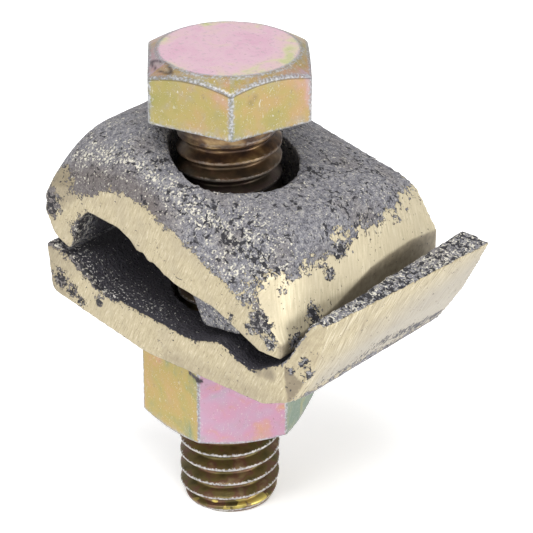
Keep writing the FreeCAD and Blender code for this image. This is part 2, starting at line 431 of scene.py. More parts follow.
def base_fields(points, normals):
    """Numbers that the base's relief and material read, by name."""
    x, y, z = points.T
    normal_x, _, normal_z = normals.T
    ragged = noise_array(points, 1.1, 3) * 0.8 + noise_array(points, 0.4, 4) * 0.5
    facing_out = normals @ np.array((1.0, 0.0, -0.1))
    side = np.minimum((facing_out - 0.55) * 3.0, (z - 1.1 + 0.9 * ragged) * 0.9)
    side = np.where(x > 13.6, side, -1.0)
    to_facet = normals @ facet_normal
    facet = (to_facet - 0.93) * 12.0
    rim = np.where(x < -13.6, (-normal_x - 0.5) * 1.6 + 0.5 * ragged, -1.0)
    sole = np.where(z < 0.3, (-normal_z - 0.8) * 4.0 + 0.6 * ragged, -1.0)
    margin = -0.1 + 0.4 * fade(x, -5.5, -7.5) + 0.35 * ragged
    ground = np.maximum.reduce([end_face_field(points, normals, margin), side, facet, rim, sole])
    spots = spot_array(points, base_rough_spots)
    ground = np.minimum(ground, most_ground) - 1.6 * spots
    up = unit((normal_z - 0.1) * 3.0)
    dish = (x > -12.6) & (x < 14.6) & (z < 6.9) & (np.abs(y - middle_y) < 10.6)
    # Painted shade in the groove along the top of the base's front face
    groove_edge = (y < -8.8) & (x > -7.0) & (x < 13.8) & (z > 2.0)
    groove_shade = np.where(groove_edge, fade(end_depth(points, front_y), 0.84, 0.24), 0.0)
    lip_top = np.where((x > 14.4) & (z > 7.0), unit(1.5 * normal_z), 0.0)
    front_edge = fade(x, -4.0, -5.5) * fade(y, -8.0, -8.8) * up
    # More bright specks, partly painted glints, at the front of the dish, fewer deeper in its
    # shade
    dish_front = 0.8 * fade(y, -4.5, -8.0) * fade(x, 3.0, -2.0) * dish
    on_facet = unit((to_facet - 0.85) * 14.0)
    along_facet = (y - front_y) * facet_normal[0] - (x - facet_x) * facet_normal[1]
    dull_corners = [(-0.1, 5.0), (0.3, 1.0), (1.9, 2.7)]
    dull = triangle_share(np.stack((along_facet, z), axis=1), dull_corners, 0.12)
    on_front = y < front_y + end_reach
    under_groove = unit(1.6 * spot_array(points, base_under_groove)) * on_front
    low_front = fade(z, 2.6, 1.0) * on_front * (x > 0.0)
    stains = [
        0.95 * dull * on_facet,
        0.8 * under_groove,
        0.5 * fade(x, -9.5, -13.0),
        0.3 * low_front,
        0.25 * on_facet,
    ]
    outer = fade(x, 14.8, 15.2) * fade(y, -7.5, -5.5)
    hatch_z = np.interp(y, (-1.1, 2.0, 4.4, 6.6, 9.3, 12.0), (1.7, 2.6, 2.4, 2.1, 1.6, 1.4))
    hatch = fade(np.abs(z - hatch_z), 0.96, 0.36) * fade(y, -2.0, 0.5)
    return {
        "ground": np.clip(ground, -1.0, 1.0),
        # Soot and painted shade on the dish and in the groove
        "dark": np.maximum(np.where(dish, up, 0.0), groove_shade),
        "rough": 0.5 + 0.6 * lip_top + 1.6 * spots + 0.8 * front_edge,
        "sparkle": np.maximum.reduce([0.9 * lip_top, front_edge, spot_glints(spots), dish_front]),
        "stain": np.maximum.reduce(stains),
        "brown": fade(x, -4.0, -7.0) * fade(y, -8.6, -9.1),
        "pale": np.zeros(len(points)),
        # Greyer low on the lip's outer face: a painted sheen, as of the pale floor reflected
        "gray": outer * fade(z - 0.3 * y, 7.2, 3.2),
        "hatch": hatch * outer * (0.75 + 0.5 * noise_array(points, 1.5, 16)),
    }


def make_casting(node, name, fields_of, burrs=()):
    """Casting with a lumpy, pitted skin, flat ground faces with small pits, and cast burrs."""
    piece = remeshed_copy(node, name)
    mesh = piece.data
    points = points_of(mesh)
    normals = normals_of(mesh)
    fields = fields_of(points, normals)
    rough = fields["rough"]
    skin = unit(0.5 - 1.6 * fields["ground"])
    lumps = lump_height * noise_array(points, 0.95, 5)
    lumps = lumps + small_lump_height * noise_array(points, 0.42, 6)
    swells = swell_height * noise_array(points, 3.1, 7)
    wobble = np.stack([noise_array(points, 0.6, seed) for seed in (13, 14, 15)], axis=1)
    bent = points + pit_bend * wobble
    clusters = unit(noise_array(points, 2.6, 8) * 2.0 - 0.35 + 0.75 * (rough - 0.6))
    pits = pit_array(bent, 1.25, 0.4, 9) * clusters
    small_pits = pit_array(bent, 0.75, 0.22, 10) * unit(clusters + 0.2)
    skin_height = (lumps + swells) * rough * skin_gain - skin_sink
    skin_height = skin_height - pit_depth * pits - small_pit_depth * small_pits
    ground_pits = pit_array(points, 1.9, 0.2, 11) * unit(noise_array(points, 2.2, 12))
    ground_height = -ground_pit_depth * ground_pits - ground_sink
    height = skin * skin_height + (1.0 - skin) * ground_height
    moved = points + normals * height[:, None]
    moved[:, 2] -= burr_length * spot_array(points, burrs) * unit(0.4 - normals[:, 2])
    low, high = (np.array(corner) / MM for corner in cad_box)
    move_points(mesh, np.clip(moved, low, high))
    fields["sideways"] = unit(2.0 * (np.abs(normals[:, 0]) - np.abs(normals[:, 1])) + 0.5)
    fields["relief"] = unit(0.5 + 4.5 * (height + skin_sink) * skin)
    fields["pitted"] = unit(pits + 0.7 * small_pits) * skin + ground_pits * (1.0 - skin)
    store(mesh, fields)
    return piece


# Hex bodies: a column of outline points for each direction round the axis. Their points carry
# edge (wear), tint (place in the film's colours), top (the head's top), inner (nearness to the
# top's middle), dirt_and_gap_shade (dirt, and painted shade in the gap at the nut's top corner)
# and haze.

def hex_side(away, flats):
    """Distance from the axis to the hexagon's side, at an angle away from its rounded corner."""
    inset_corner = (flats / 2.0 - corner_rounding) / math.cos(sixth_turn / 2.0)
    reach = inset_corner + corner_rounding * math.cos(sixth_turn / 2.0)
    tangent_angle = math.atan2(corner_rounding * math.sin(sixth_turn / 2.0), reach)
    if away < tangent_angle:
        across = inset_corner * math.sin(away)
        return inset_corner * math.cos(away) + math.sqrt(corner_rounding**2 - across**2)
    return flats / 2.0 / math.cos(sixth_turn / 2.0 - away)


def lathe_mesh(name, columns, wrap):
    """Skin over columns of points. With wrap, each column's end joins its start."""
    count = len(columns)
    height = len(columns[0])
    vertices = [point for column in columns for point in column]
    faces = []
    for index in range(count):
        here = index * height
        beside = (index + 1) % count * height
        for row in range(height if wrap else height - 1):
            above = (row + 1) % height
            faces.append((here + row, beside + row, beside + above, here + above))
    mesh = bpy.data.meshes.new(name)
    mesh.from_pydata(vertices, [], faces)
    return mesh


def hex_columns_of(flats, corner_angle, wear_width, outline):
    """Columns of a hex body, with each point's edge wear and how many sides lie before it."""
    columns = []
    edge_wear = []
    sides_before = []
    half_side = sixth_turn / 2.0
    for index in range(hex_columns):
        angle = corner_angle + math.tau * index / hex_columns
        away = abs((angle - corner_angle + half_side) % sixth_turn - half_side)
        side = hex_side(away, flats)
        rows = outline(side)
        columns.append([(r * math.cos(angle), r * math.sin(angle), z) for r, z, _, _ in rows])
        corner_wear = wear_near(side * away, wear_width)
        edge_wear += [max(worn, corner_wear * on_side) for _, _, worn, on_side in rows]
        sides_before += [6.0 * index / hex_columns] * len(rows)
    return columns, np.array(edge_wear), np.array(sides_before)


def side_tint(sides_before, tints, slant):
    """Tint of each point's side, which rises by slant from the side's one corner to the next."""
    numbers = np.floor(sides_before).astype(int)
    return np.array(tints)[numbers] + slant * (sides_before - numbers - 0.5)


def steps(start, end, count):
    """Evenly spaced values from start towards end, without either."""
    return [start + (end - start) * step / (count + 1) for step in range(1, count + 1)]


def wear_near(distance, reach):
    """1 on an edge, falling away from it."""
    return math.exp(-((distance / reach) ** 2))


def head_outline(side, bottom, top):
    """Head's outline on one column: (radius, height, edge wear, share on the side)."""
    shoulder_z = top - (side - head_face_radius) * head_slope
    face_end = head_face_radius + 0.06 * MM
    side_top = shoulder_z - 0.16 * MM
    side_worn = shoulder_z - 0.4 * MM
    bottom_rounding = 0.15 * MM
    rows = [(0.0, top, 0.0, 0.0)]
    for radius in steps(0.0, head_face_radius - 0.12 * MM, 22):
        rows.append((radius, top, wear_near(head_face_radius - radius, 0.36 * MM), 0.0))
    rows.append((head_face_radius - 0.1 * MM, top - 0.005 * MM, 0.8, 0.0))
    rows.append((face_end, top - 0.05 * MM, 0.8, 0.0))
    for radius in steps(face_end, side - head_bevel, 6):
        drop = (radius - head_face_radius) * head_slope
        near = max(wear_near(side - radius, 0.3 * MM), 0.7 * wear_near(drop, 0.15 * MM))
        rows.append((radius, top - drop - 0.01 * MM, min(near + 0.3, 1.0), 0.3))
    rows.append((side - head_bevel, shoulder_z + head_bevel * head_slope, 0.85, 0.5))
    rows.append((side - 0.03 * MM, shoulder_z - 0.04 * MM, 1.0, 1.0))
    rows.append((side, side_top, 0.9, 1.0))
    for z in steps(side_top, side_worn, 5):
        rows.append((side, z, 0.25, 1.0))
    for z in steps(side_worn, bottom + 0.16 * MM, 24):
        near = max(wear_near(shoulder_z - z, 0.3 * MM), 0.9 * wear_near(z - bottom, 0.4 * MM))
        rows.append((side, z, near, 1.0))
    rows.append((side, bottom + bottom_rounding, 0.8, 1.0))
    rows.append((side - 0.04 * MM, bottom + 0.04 * MM, 0.9, 1.0))
    rows.append((side - bottom_rounding, bottom, 0.6, 0.5))
    for radius in steps(side - bottom_rounding, 0.0, 12):
        rows.append((radius, bottom, 0.0, 0.0))
    rows.append((0.0, bottom, 0.0, 0.0))
    return rows


def nut_outline(side, bottom, top):
    """Nut's closed outline on one column, from the top of its bore round to the bottom."""
    drop = max(side - nut_face_radius, 0.02 * MM) * nut_slope
    mouth = bore_radius + countersink
    face_end = nut_face_radius - 0.1 * MM
    side_end = drop + 0.15 * MM
    end = [(bore_radius, countersink, 0.2, 0.0), (mouth, 0.0, 0.6, 0.0)]
    for radius in steps(mouth, face_end, 8):
        end.append((radius, 0.0, wear_near(nut_face_radius - radius, 0.3 * MM), 0.0))
    end.append((face_end, 0.0, 0.7, 0.3))
    end.append((nut_face_radius, 0.02 * MM, 0.8, 0.5))
    for share in (0.35, 0.7):
        radius = nut_face_radius + (side - nut_face_radius) * share
        end.append((radius, drop * share + 0.01 * MM, 0.6, 0.6))
    end.append((side - 0.03 * MM, drop + 0.03 * MM, 1.0, 1.0))
    end.append((side, side_end, 0.8, 1.0))
    rows = [(radius, top - depth, *marks) for radius, depth, *marks in end]
    for z in steps(top - side_end, bottom + side_end, 36):
        near = max(wear_near(top - drop - z, 0.3 * MM), wear_near(z - bottom - drop, 0.35 * MM))
        rows.append((side, z, 0.9 * near, 1.0))
    rows += [(radius, bottom + depth, *marks) for radius, depth, *marks in reversed(end)]
    return rows


def finish_hex_mesh(mesh, edge, tints, top, inner, dirt_and_gap_shade):
    """Small dents, the numbers that the plating reads, and merged centre points."""
    points = points_of(mesh)
    nicks = unit(noise_array(points, 0.5, 21) - 0.15) * edge + 0.3 * dirt_and_gap_shade
    waves = 1.0 + noise_array(points, 2.6, 22)
    reach, outward = from_axis(points)
    depth = (nick_depth * nicks + wave_height * waves) * fade(reach, 5.5, 6.0)
    points = points - outward * depth[:, None]
    move_points(mesh, points)
    low_z, high_z = points[:, 2].min(), points[:, 2].max()
    to_end = np.minimum(points[:, 2] - low_z, high_z - points[:, 2])
    haze = np.maximum(np.exp(-to_end / 0.7), 0.6 * edge) * (1.0 - top)
    store(mesh, {
        "edge": edge,
        "tint": tints,
        "top": top,
        "inner": inner,
        "dirt_and_gap_shade": dirt_and_gap_shade,
        "haze": haze,
    })
    close_mesh(mesh, 0.0005 * MM)
    return mesh


def scar_rim(points):
    """1 round the nick on the head's chamfer."""
    from_scar = points - scar_center
    along = from_scar @ scar_direction
    across = np.linalg.norm(from_scar - along[:, None] * scar_direction, axis=1)
    scar = 1.0 - np.hypot(along / scar_half_length, across / scar_half_width)
    return fade(np.abs(scar - 0.28), 0.25, 0.0)


def make_head_mesh(bottom, top):
    def outline(side):
        return head_outline(side, bottom, top)

    columns, edge, sides_before = hex_columns_of(
        head_flats, head_corner_angle, head_wear_width, outline
    )
    mesh = lathe_mesh("bolt_head", columns, False)
    points = points_of(mesh)
    x, y, z = points.T
    face_radius = head_face_radius / MM
    reach = np.hypot(x, y)
    below_top = top / MM - z
    below_shoulder = below_top - (reach - face_radius) * head_slope
    upper = below_top < head_corner_drop / MM + 0.3
    on_top = fade(reach, face_radius + 0.05, face_radius - 0.1) * upper
    inner = 0.28 + 0.35 * fade(reach, face_radius, face_radius - 2.4)
    groove = 0.65 * np.exp(-(((below_shoulder - 0.22) / 0.06) ** 2)) * (1.0 - on_top)
    smudge = 0.35 * spot_array(points, head_smudges)
    dirt_and_gap_shade = np.maximum.reduce([groove, 0.9 * scar_rim(points), smudge])
    on_chamfer = fade(np.abs(below_shoulder), 0.12, 0.0) * (1.0 - on_top)
    tints = side_tint(sides_before, head_tints, head_tint_slant)
    tints = tints + 0.38 * on_chamfer * fade(np.abs(x - 3.6), 1.25, 6.25)
    return finish_hex_mesh(mesh, edge, tints, on_top, inner, dirt_and_gap_shade)


def make_nut():
    low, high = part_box("hex_nut")
    bottom = low[2]
    top = high[2]

    def outline(side):
        return nut_outline(side, bottom, top)

    columns, edge, sides_before = hex_columns_of(
        nut_flats, nut_corner_angle, nut_wear_width, outline
    )
    mesh = lathe_mesh("hex_nut_plated", columns, True)
    tints = side_tint(sides_before, nut_tints, nut_tint_slant)
    nothing = np.zeros(len(mesh.vertices))
    # Painted shade at the nut's top corner, in the gap under the base
    dirt_and_gap_shade = unit(5.0 * spot_array(points_of(mesh), nut_gap_shade_spots))
    return new_object("hex_nut_plated", finish_hex_mesh(mesh, edge, tints, nothing, nothing, dirt_and_gap_shade))


# Thread. Its points carry edge (the crests), tint (nearness to the head), thread_shade (painted
# shade in the hole and on one side of the neck) and point.

def thread_rows():
    """Shares of the pitch between two crests, closer together at the crest's edges."""
    half = [0.0, 0.028, 0.055, 0.075, 0.13, 0.21, 0.29, 0.37, 0.42, 0.46]
    return [-share for share in reversed(half[1:])] + half + [0.5]


def thread_shape(share):
    """0 on the crest and 1 at the root."""
    return min(max((abs(share) - 0.06) / 0.37, 0.0), 1.0)


def shank_radius(z, share, seat_z, end_z):
    """Radius of the thread, its run-out into the neck, and its point."""
    threaded = bolt_radius - thread_depth * thread_shape(share)
    below_head = seat_z - z
    in_neck = smooth(min(max((neck_length + 0.5 * MM - below_head) / run_out, 0.0), 1.0))
    hollow = max(0.0, 1.0 - below_head / neck_fillet)
    neck = neck_radius + neck_fillet * hollow**2.2
    radius = threaded + (neck - threaded) * in_neck
    above_end = z - end_z
    point = point_radius + (bolt_radius + 0.1 * MM - point_radius) * above_end / point_length
    return min(radius, point)


def make_shank_mesh(seat_z, end_z):
    """Helical thread as one spiral strip, cut flat at both ends."""
    shares = thread_rows()
    turns = int((seat_z - end_z) / thread_pitch) + 4
    # The crests' height was read where the thread faces the camera
    camera_angle = view_azimuth - math.pi / 2.0
    crests_below = math.ceil((thread_phase_z - end_z) / thread_pitch) + 2
    start_z = thread_phase_z - crests_below * thread_pitch
    vertices = []
    crest = []
    height = turns * len(shares) + 1
    for column in range(thread_columns + 1):
        turn = column / thread_columns
        angle = camera_angle + math.tau * turn
        for row in range(height):
            lap, place = divmod(row, len(shares))
            share = shares[place]
            z = start_z + (lap + share + turn) * thread_pitch
            radius = shank_radius(z, share, seat_z, end_z)
            vertices.append((radius * math.cos(angle), radius * math.sin(angle), z))
            crest.append(1.0 - min(abs(share) / 0.15, 1.0))
    faces = []
    for column in range(thread_columns):
        for row in range(height - 1):
            here = column * height + row
            beside = here + height
            faces.append((here, beside, beside + 1, here + 1))
    mesh = bpy.data.meshes.new("bolt_shank")
    mesh.from_pydata(vertices, [], faces)
    points = points_of(mesh)
    z = points[:, 2]
    crest = np.array(crest)
    dents = crest_dent_depth * crest * unit(noise_array(points, 0.6, 31) - 0.1)
    dents += wave_height * np.abs(noise_array(points, 0.8, 32))
    _, outward = from_axis(points)
    move_points(mesh, points - outward * dents[:, None])
    near_head = fade(z - seat_z / MM, -6.5, -3.5)
    in_hole = fade(z, 1.0, 7.0)
    on_shaded_side = fade(points @ shaded_neck_side, 0.0, 4.7)
    above_end = z - end_z / MM
    store(mesh, {
        "edge": crest,
        "tint": near_head,
        # Painted shade: dark in the hole and on the neck's shaded side
        "thread_shade": np.maximum(0.85 * in_hole * (1.0 - 0.6 * near_head), 0.9 * near_head * on_shaded_side),
        "point": fade(np.abs(above_end - 0.75), 0.5, 0.0),
    })
    close_mesh(mesh, 0.002 * MM, [(end_z, -1.0), (seat_z + 0.2 * MM, 1.0)])
    return mesh


def make_bolt():
    """Head and shank joined in one piece, the head with the first material."""
    low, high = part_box("hex_bolt")
    seat_z = high[2] - head_height
    head = make_head_mesh(seat_z, high[2])
    shank = make_shank_mesh(seat_z, low[2])
    build = bmesh.new()
    build.from_mesh(head)
    head_faces = len(build.faces)
    build.from_mesh(shank)
    build.faces.ensure_lookup_table()
    for face in build.faces[head_faces:]:
        face.material_index = 1
    mesh = bpy.data.meshes.new("hex_bolt_plated")
    build.to_mesh(mesh)
    build.free()
    mesh.shade_smooth()
    return new_object("hex_bolt_plated", mesh)


# Material helpers

def srgb(red, green, blue):
    """Linear colour from 0-255 display values."""
    linear = []
    for value in (red, green, blue):
        share = value / 255.0
        linear.append(share / 12.92 if share <= 0.04045 else ((share + 0.055) / 1.055) ** 2.4)
    return (*linear, 1.0)


class Value:
    """A node's output in a surface. Each +, -, * or abs of it makes a further node."""

    def __init__(self, surface, socket):
        self.surface = surface
        self.socket = socket

    def __add__(self, other):
        return self.surface.calculate("ADD", self, other)

    def __sub__(self, other):
        return self.surface.calculate("SUBTRACT", self, other)

    def __rsub__(self, other):
        return self.surface.calculate("SUBTRACT", other, self)

    def __mul__(self, other):
        return self.surface.calculate("MULTIPLY", self, other)

    def __abs__(self):
        return self.surface.calculate("ABSOLUTE", self)

    def clamped(self):
        """The same number, which its node now holds between 0 and 1."""
        self.socket.node.use_clamp = True
        return self


class Surface:
    """A new material and its node tree."""

    def __init__(self, name):
        self.material = bpy.data.materials.new(name)
        self.material.use_nodes = True
        self.tree = self.material.node_tree

    def plug(self, node, inputs):
        """Link each input to a node's output, or set it where it has a constant."""
        for name, value in inputs.items():
            if isinstance(value, Value):
                self.tree.links.new(value.socket, node.inputs[name])
            else:
                node.inputs[name].default_value = value

    def output(self, node, inputs, name):
        """Value of one of a node's outputs, once its inputs are plugged."""
        self.plug(node, inputs)
        return Value(self, node.outputs[name])

    def attribute(self, name):
        """Number that store() gave to the mesh under this name."""
        node = self.tree.nodes.new("ShaderNodeAttribute")
        node.attribute_name = name
        return self.output(node, {}, "Fac")

    def position(self, stretch=None, lean=None, aside=None):
        """Object-space position, which rides with the piece, set aside, turned and stretched."""
        source = self.output(self.tree.nodes.new("ShaderNodeTexCoord"), {}, "Object")
        for name, setting in (("Location", aside), ("Rotation", lean), ("Scale", stretch)):
            if setting:
                node = self.tree.nodes.new("ShaderNodeMapping")
                source = self.output(node, {"Vector": source, name: setting}, "Vector")
        return source

    def noise(self, size, detail, stretch=None, lean=None, aside=None, distortion=0.0):
        """Noise from 0 to 1 whose features are about size millimetres wide."""
        inputs = {
            "Vector": self.position(stretch, lean, aside),
            "Scale": 1.0 / (size * MM),
            "Detail": detail,
            "Distortion": distortion,
        }
        return self.output(self.tree.nodes.new("ShaderNodeTexNoise"), inputs, "Fac")

    def calculate(self, operation, first, second=0.0):
        node = self.tree.nodes.new("ShaderNodeMath")
        node.operation = operation
        return self.output(node, {0: first, 1: second}, "Value")

    def largest(self, first, *others):
        for other in others:
            first = self.calculate("MAXIMUM", first, other)
        return first

    def window(self, value, low, high):
        """0 below low, 1 above high, smooth between."""
        node = self.tree.nodes.new("ShaderNodeMapRange")
        node.interpolation_type = "SMOOTHSTEP"
        return self.output(node, {"Value": value, "From Min": low, "From Max": high}, "Result")

    def ramp(self, value, shades):
        """Colour at the value, between shades given as (position, colour)."""
        node = self.tree.nodes.new("ShaderNodeValToRGB")
        elements = node.color_ramp.elements
        while len(elements) < len(shades):
            elements.new(1.0)
        for element, (position, color) in zip(elements, shades):
            element.position = position
            element.color = color
        return self.output(node, {"Fac": value}, "Color")

    def blend(self, share, first, second):
        """Colour first where share is 0, and second where it is 1."""
        node = self.tree.nodes.new("ShaderNodeMix")
        node.data_type = "RGBA"
        return self.output(node, {0: share, 6: first, 7: second}, 2)

    def choose(self, share, first, second):
        """Number first where share is 0, and second where it is 1."""
        node = self.tree.nodes.new("ShaderNodeMix")
        node.data_type = "FLOAT"
        return self.output(node, {0: share, 2: first, 3: second}, 0)

    def bump(self, height, depth, strength):
        """Normals for a height whose unit stands for depth in millimetres."""
        inputs = {"Height": height, "Distance": depth * MM, "Strength": strength}
        return self.output(self.tree.nodes.new("ShaderNodeBump"), inputs, "Normal")

    def finished(self, inputs):
        """The material, once its shader's inputs are plugged."""
        self.plug(self.tree.nodes["Principled BSDF"], inputs)
        return self.material


# Materials

# A small step aside, which sets the way the painted light and shade on the skin's small relief
# fall, and the lean of the brush marks on the end faces and on the right side
relief_light_step = (-0.05 * MM, 0.02 * MM, -0.05 * MM)
front_lean = (0.0, math.radians(-25.0), 0.0)
side_lean = (math.radians(20.0), 0.0, 0.0)

# Colours. Shades are (position, colour) along the number that picks them.
white = (1.0, 1.0, 1.0, 1.0)
skin_shades = [
    (0.36, srgb(88, 88, 96)),
    (0.45, srgb(119, 118, 125)),
    (0.54, srgb(137, 136, 141)),
    (0.63, srgb(168, 165, 163)),
]
skin_cloud = srgb(118, 110, 105)
skin_brown = srgb(96, 84, 76)
# Painted highlight on the raised skin
skin_raised_highlight = srgb(160, 155, 148)
skin_pit = srgb(25, 24, 32)
# Bright specks: worn metal flecks and painted glints
skin_speck = srgb(226, 221, 207)
skin_shadow = srgb(46, 43, 52)
# Bright specks in the painted shade, also painted glints
shadow_speck = srgb(210, 207, 202)

metal_shades = [
    (0.34, srgb(142, 130, 104)),
    (0.44, srgb(169, 157, 128)),
    (0.56, srgb(184, 172, 143)),
    (0.66, srgb(206, 198, 173)),
]
metal_patch = srgb(160, 149, 127)
metal_pale = srgb(216, 205, 176)
# Greyer colour of the painted sheen low on the base's lip
metal_gray_sheen = srgb(158, 153, 145)
# Colour of stains, also used for the painted shade under the saddle's flank
metal_stain_and_shade = srgb(126, 115, 96)
metal_pit = srgb(56, 50, 48)
metal_dot = srgb(84, 76, 68)
metal_hatch = srgb(52, 48, 54)
edge_pit = srgb(44, 40, 46)

head_shades = [
    (0.0, srgb(104, 118, 98)),
    (0.16, srgb(142, 136, 78)),
    (0.34, srgb(156, 142, 84)),
    (0.5, srgb(166, 138, 92)),
    (0.62, srgb(172, 138, 114)),
    (0.76, srgb(172, 142, 146)),
    (1.0, srgb(168, 152, 160)),
]
nut_shades = [
    (0.0, srgb(96, 118, 98)),
    (0.14, srgb(124, 132, 92)),
    (0.28, srgb(160, 144, 76)),
    (0.44, srgb(170, 142, 82)),
    (0.58, srgb(182, 138, 112)),
    (0.72, srgb(176, 130, 152)),
    (0.88, srgb(168, 140, 160)),
    (1.0, srgb(142, 144, 140)),
]
top_shades = [
    (0.0, srgb(190, 190, 146)),
    (0.14, srgb(204, 194, 168)),
    (0.3, srgb(210, 184, 184)),
    (0.55, srgb(212, 180, 192)),
    (1.0, srgb(208, 168, 186)),
]
edge_silver = [
    (0.38, srgb(104, 107, 113)),
    (0.5, srgb(140, 142, 147)),
    (0.64, srgb(176, 177, 180)),
]
film_dull = srgb(146, 138, 124)
film_haze = srgb(158, 154, 148)
top_mark = srgb(172, 160, 164)
bright_mark = srgb(206, 202, 192)
dark_mark = srgb(112, 98, 88)
# Colour of dirt, and of the painted shade in the nut's gap
dirt_and_gap_shade_color = srgb(54, 46, 52)

flank_shades = [
    (0.32, srgb(88, 80, 50)),
    (0.47, srgb(112, 99, 62)),
    (0.56, srgb(114, 84, 70)),
    (0.7, srgb(140, 124, 90)),
]
neck_shades = [
    (0.35, srgb(74, 56, 46)),
    (0.5, srgb(122, 94, 66)),
    (0.66, srgb(176, 148, 104)),
]
crest_silver = [(0.4, srgb(142, 141, 142)), (0.6, srgb(190, 187, 184))]
# Colour of the painted shade on the thread
thread_shade_color = srgb(42, 37, 40)
point_glint = srgb(222, 204, 112)

floor_shades = [(0.3, (0.93, 0.93, 0.93, 1.0)), (0.7, (0.95, 0.95, 0.95, 1.0))]


def skin_color(cast, tiny, fine, grain):
    """Colour of the cast skin, and how far its open pits and its bright specks show."""
    rough = cast.attribute("rough")
    relief = cast.attribute("relief")
    sparkle = cast.attribute("sparkle")
    dark = cast.attribute("dark")

    # Painted light and shade of the small relief, drawn by the difference between a noise and its
    # copy set aside
    painted_relief_shading = cast.noise(0.34, 4.0) - cast.noise(0.34, 4.0, aside=relief_light_step)
    skin = cast.ramp(tiny * 0.5 + grain * 0.5 + painted_relief_shading * 0.75, skin_shades)
    cloudy = cast.window(cast.noise(3.2, 3.0), 0.46, 0.75)
    skin = cast.blend(cloudy * 0.5, skin, skin_cloud)
    skin = cast.blend(cast.attribute("brown") * 0.6, skin, skin_brown)
    # Painted highlight: lighter where the skin is raised
    skin = cast.blend(cast.window(relief, 0.6, 0.95) * 0.3, skin, skin_raised_highlight)

    # Pits
    pit_room = cast.window(cast.noise(1.6, 3.0) + rough * 0.22, 0.575, 0.65)
    blots = cast.noise(0.44, 2.4, distortion=0.7) - rough * 0.09
    wide_pits = (1.0 - cast.window(blots, 0.355, 0.38)) * pit_room
    pin_holes = 1.0 - cast.window(fine, 0.33, 0.36)
    open_pits = cast.largest(wide_pits, pin_holes * 0.8)
    low_spots = cast.window(0.5 - relief, 0.25, 0.45) * pit_room
    deep_pits = cast.window(cast.attribute("pitted"), 0.35, 0.6)
    hollows = cast.largest(low_spots, deep_pits, open_pits)
    skin = cast.blend(hollows * 0.92, skin, skin_pit)

    # Bright specks, which are metal flecks and painted glints, and painted shade over soot in the
    # hollows between the castings, with fewer specks there
    speck_noise = cast.noise(0.21, 3.0)
    speck_clumps = (cast.noise(0.9, 2.0) - 0.5) * 0.3
    speck_field = speck_noise + sparkle * 0.12 + speck_clumps
    specks = cast.window(speck_field, 0.63, 0.68) * (1.0 - hollows)
    skin = cast.blend(specks * 0.95, skin, skin_speck)
    skin = cast.blend(dark * 0.93, skin, skin_shadow)
    dark_specks = cast.window(speck_noise + sparkle * 0.13, 0.69, 0.73) * dark
    skin = cast.blend(dark_specks, skin, shadow_speck)
    return skin, open_pits, specks


def metal_color(cast, tiny, grain):
    """Colour of the ground metal with its patches, stains and dots, and its brush marks."""
    front_strokes = cast.noise(0.13, 3.0, stretch=(1.0, 0.1, 0.13), lean=front_lean)
    front_strokes = cast.choose(0.7, 0.5, front_strokes)
    side_strokes = cast.noise(0.15, 3.0, stretch=(0.1, 1.0, 0.1), lean=side_lean)
    strokes = cast.choose(cast.attribute("sideways"), front_strokes, side_strokes)
    marks = strokes * 0.8 + tiny * 0.2
    metal = cast.ramp(marks, metal_shades)
    patches = cast.window(cast.noise(2.0, 4.0, stretch=(1.0, 1.0, 0.6)), 0.42, 0.68)
    metal = cast.blend(patches * 0.4, metal, metal_patch)
    metal = cast.blend(cast.attribute("pale") * 0.45, metal, metal_pale)
    # Painted sheen, greyer, low on the base's lip
    metal = cast.blend(cast.attribute("gray") * 0.7, metal, metal_gray_sheen)
    # Stains, and on the saddle the painted shade of the lip's shadow under its flank
    stain = cast.attribute("stain")
    uneven_stain_and_shade = (stain + (grain - 0.5) * 0.8).clamped()
    metal = cast.blend(uneven_stain_and_shade * cast.window(stain, 0.02, 0.3), metal, metal_stain_and_shade)
    metal = cast.blend(cast.window(cast.attribute("pitted"), 0.2, 0.5), metal, metal_pit)
    dot_room = cast.window(cast.noise(1.4, 2.0), 0.5, 0.62)
    dots = cast.window(cast.noise(0.26, 3.0, distortion=0.5), 0.64, 0.69) * dot_room
    metal = cast.blend(dots * 0.8, metal, metal_dot)
    scratches = cast.noise(0.24, 3.0, stretch=(0.3, 1.0, 0.5), lean=side_lean, distortion=0.6)
    hatched = cast.window(scratches + cast.attribute("hatch") * 0.28, 0.7, 0.74)
    metal = cast.blend(hatched, metal, metal_hatch)
    return metal, marks


def casting_material():
    """Grey cast skin and pale ground metal, parted by a ragged line with dark pits."""
    cast = Surface("cast_bronze")
    tiny = cast.noise(0.13, 3.0)
    fine = cast.noise(0.24, 4.0)
    grain = cast.noise(0.5, 5.0)
    skin, open_pits, specks = skin_color(cast, tiny, fine, grain)
    metal, marks = metal_color(cast, tiny, grain)
    ragged = (cast.noise(0.6, 5.0) - 0.5) * 2.6
    flecked = (cast.noise(0.19, 3.0) - 0.5) * 2.4
    edge_field = cast.attribute("ground") + (ragged + flecked)
    ground = cast.window(edge_field, -0.04, 0.14)
    color = cast.blend(ground, skin, metal)
    at_edge = 1.0 - cast.window(abs(edge_field - 0.05), 0.06, 0.24)
    edge_pits = 1.0 - cast.window(cast.noise(0.3, 3.0), 0.4, 0.44)
    color = cast.blend(edge_pits * at_edge, color, edge_pit)
    skin_height = grain * 1.4 + fine * 2.2 - open_pits + specks * 0.5
    return cast.finished({
        "Base Color": color,
        "Metallic": cast.largest(ground, specks * 0.4) * 0.35,
        "Roughness": cast.choose(ground, 0.7, 0.5),
        "Normal": cast.bump(cast.choose(ground, skin_height, marks * 0.06), 0.2, 1.0),
    })


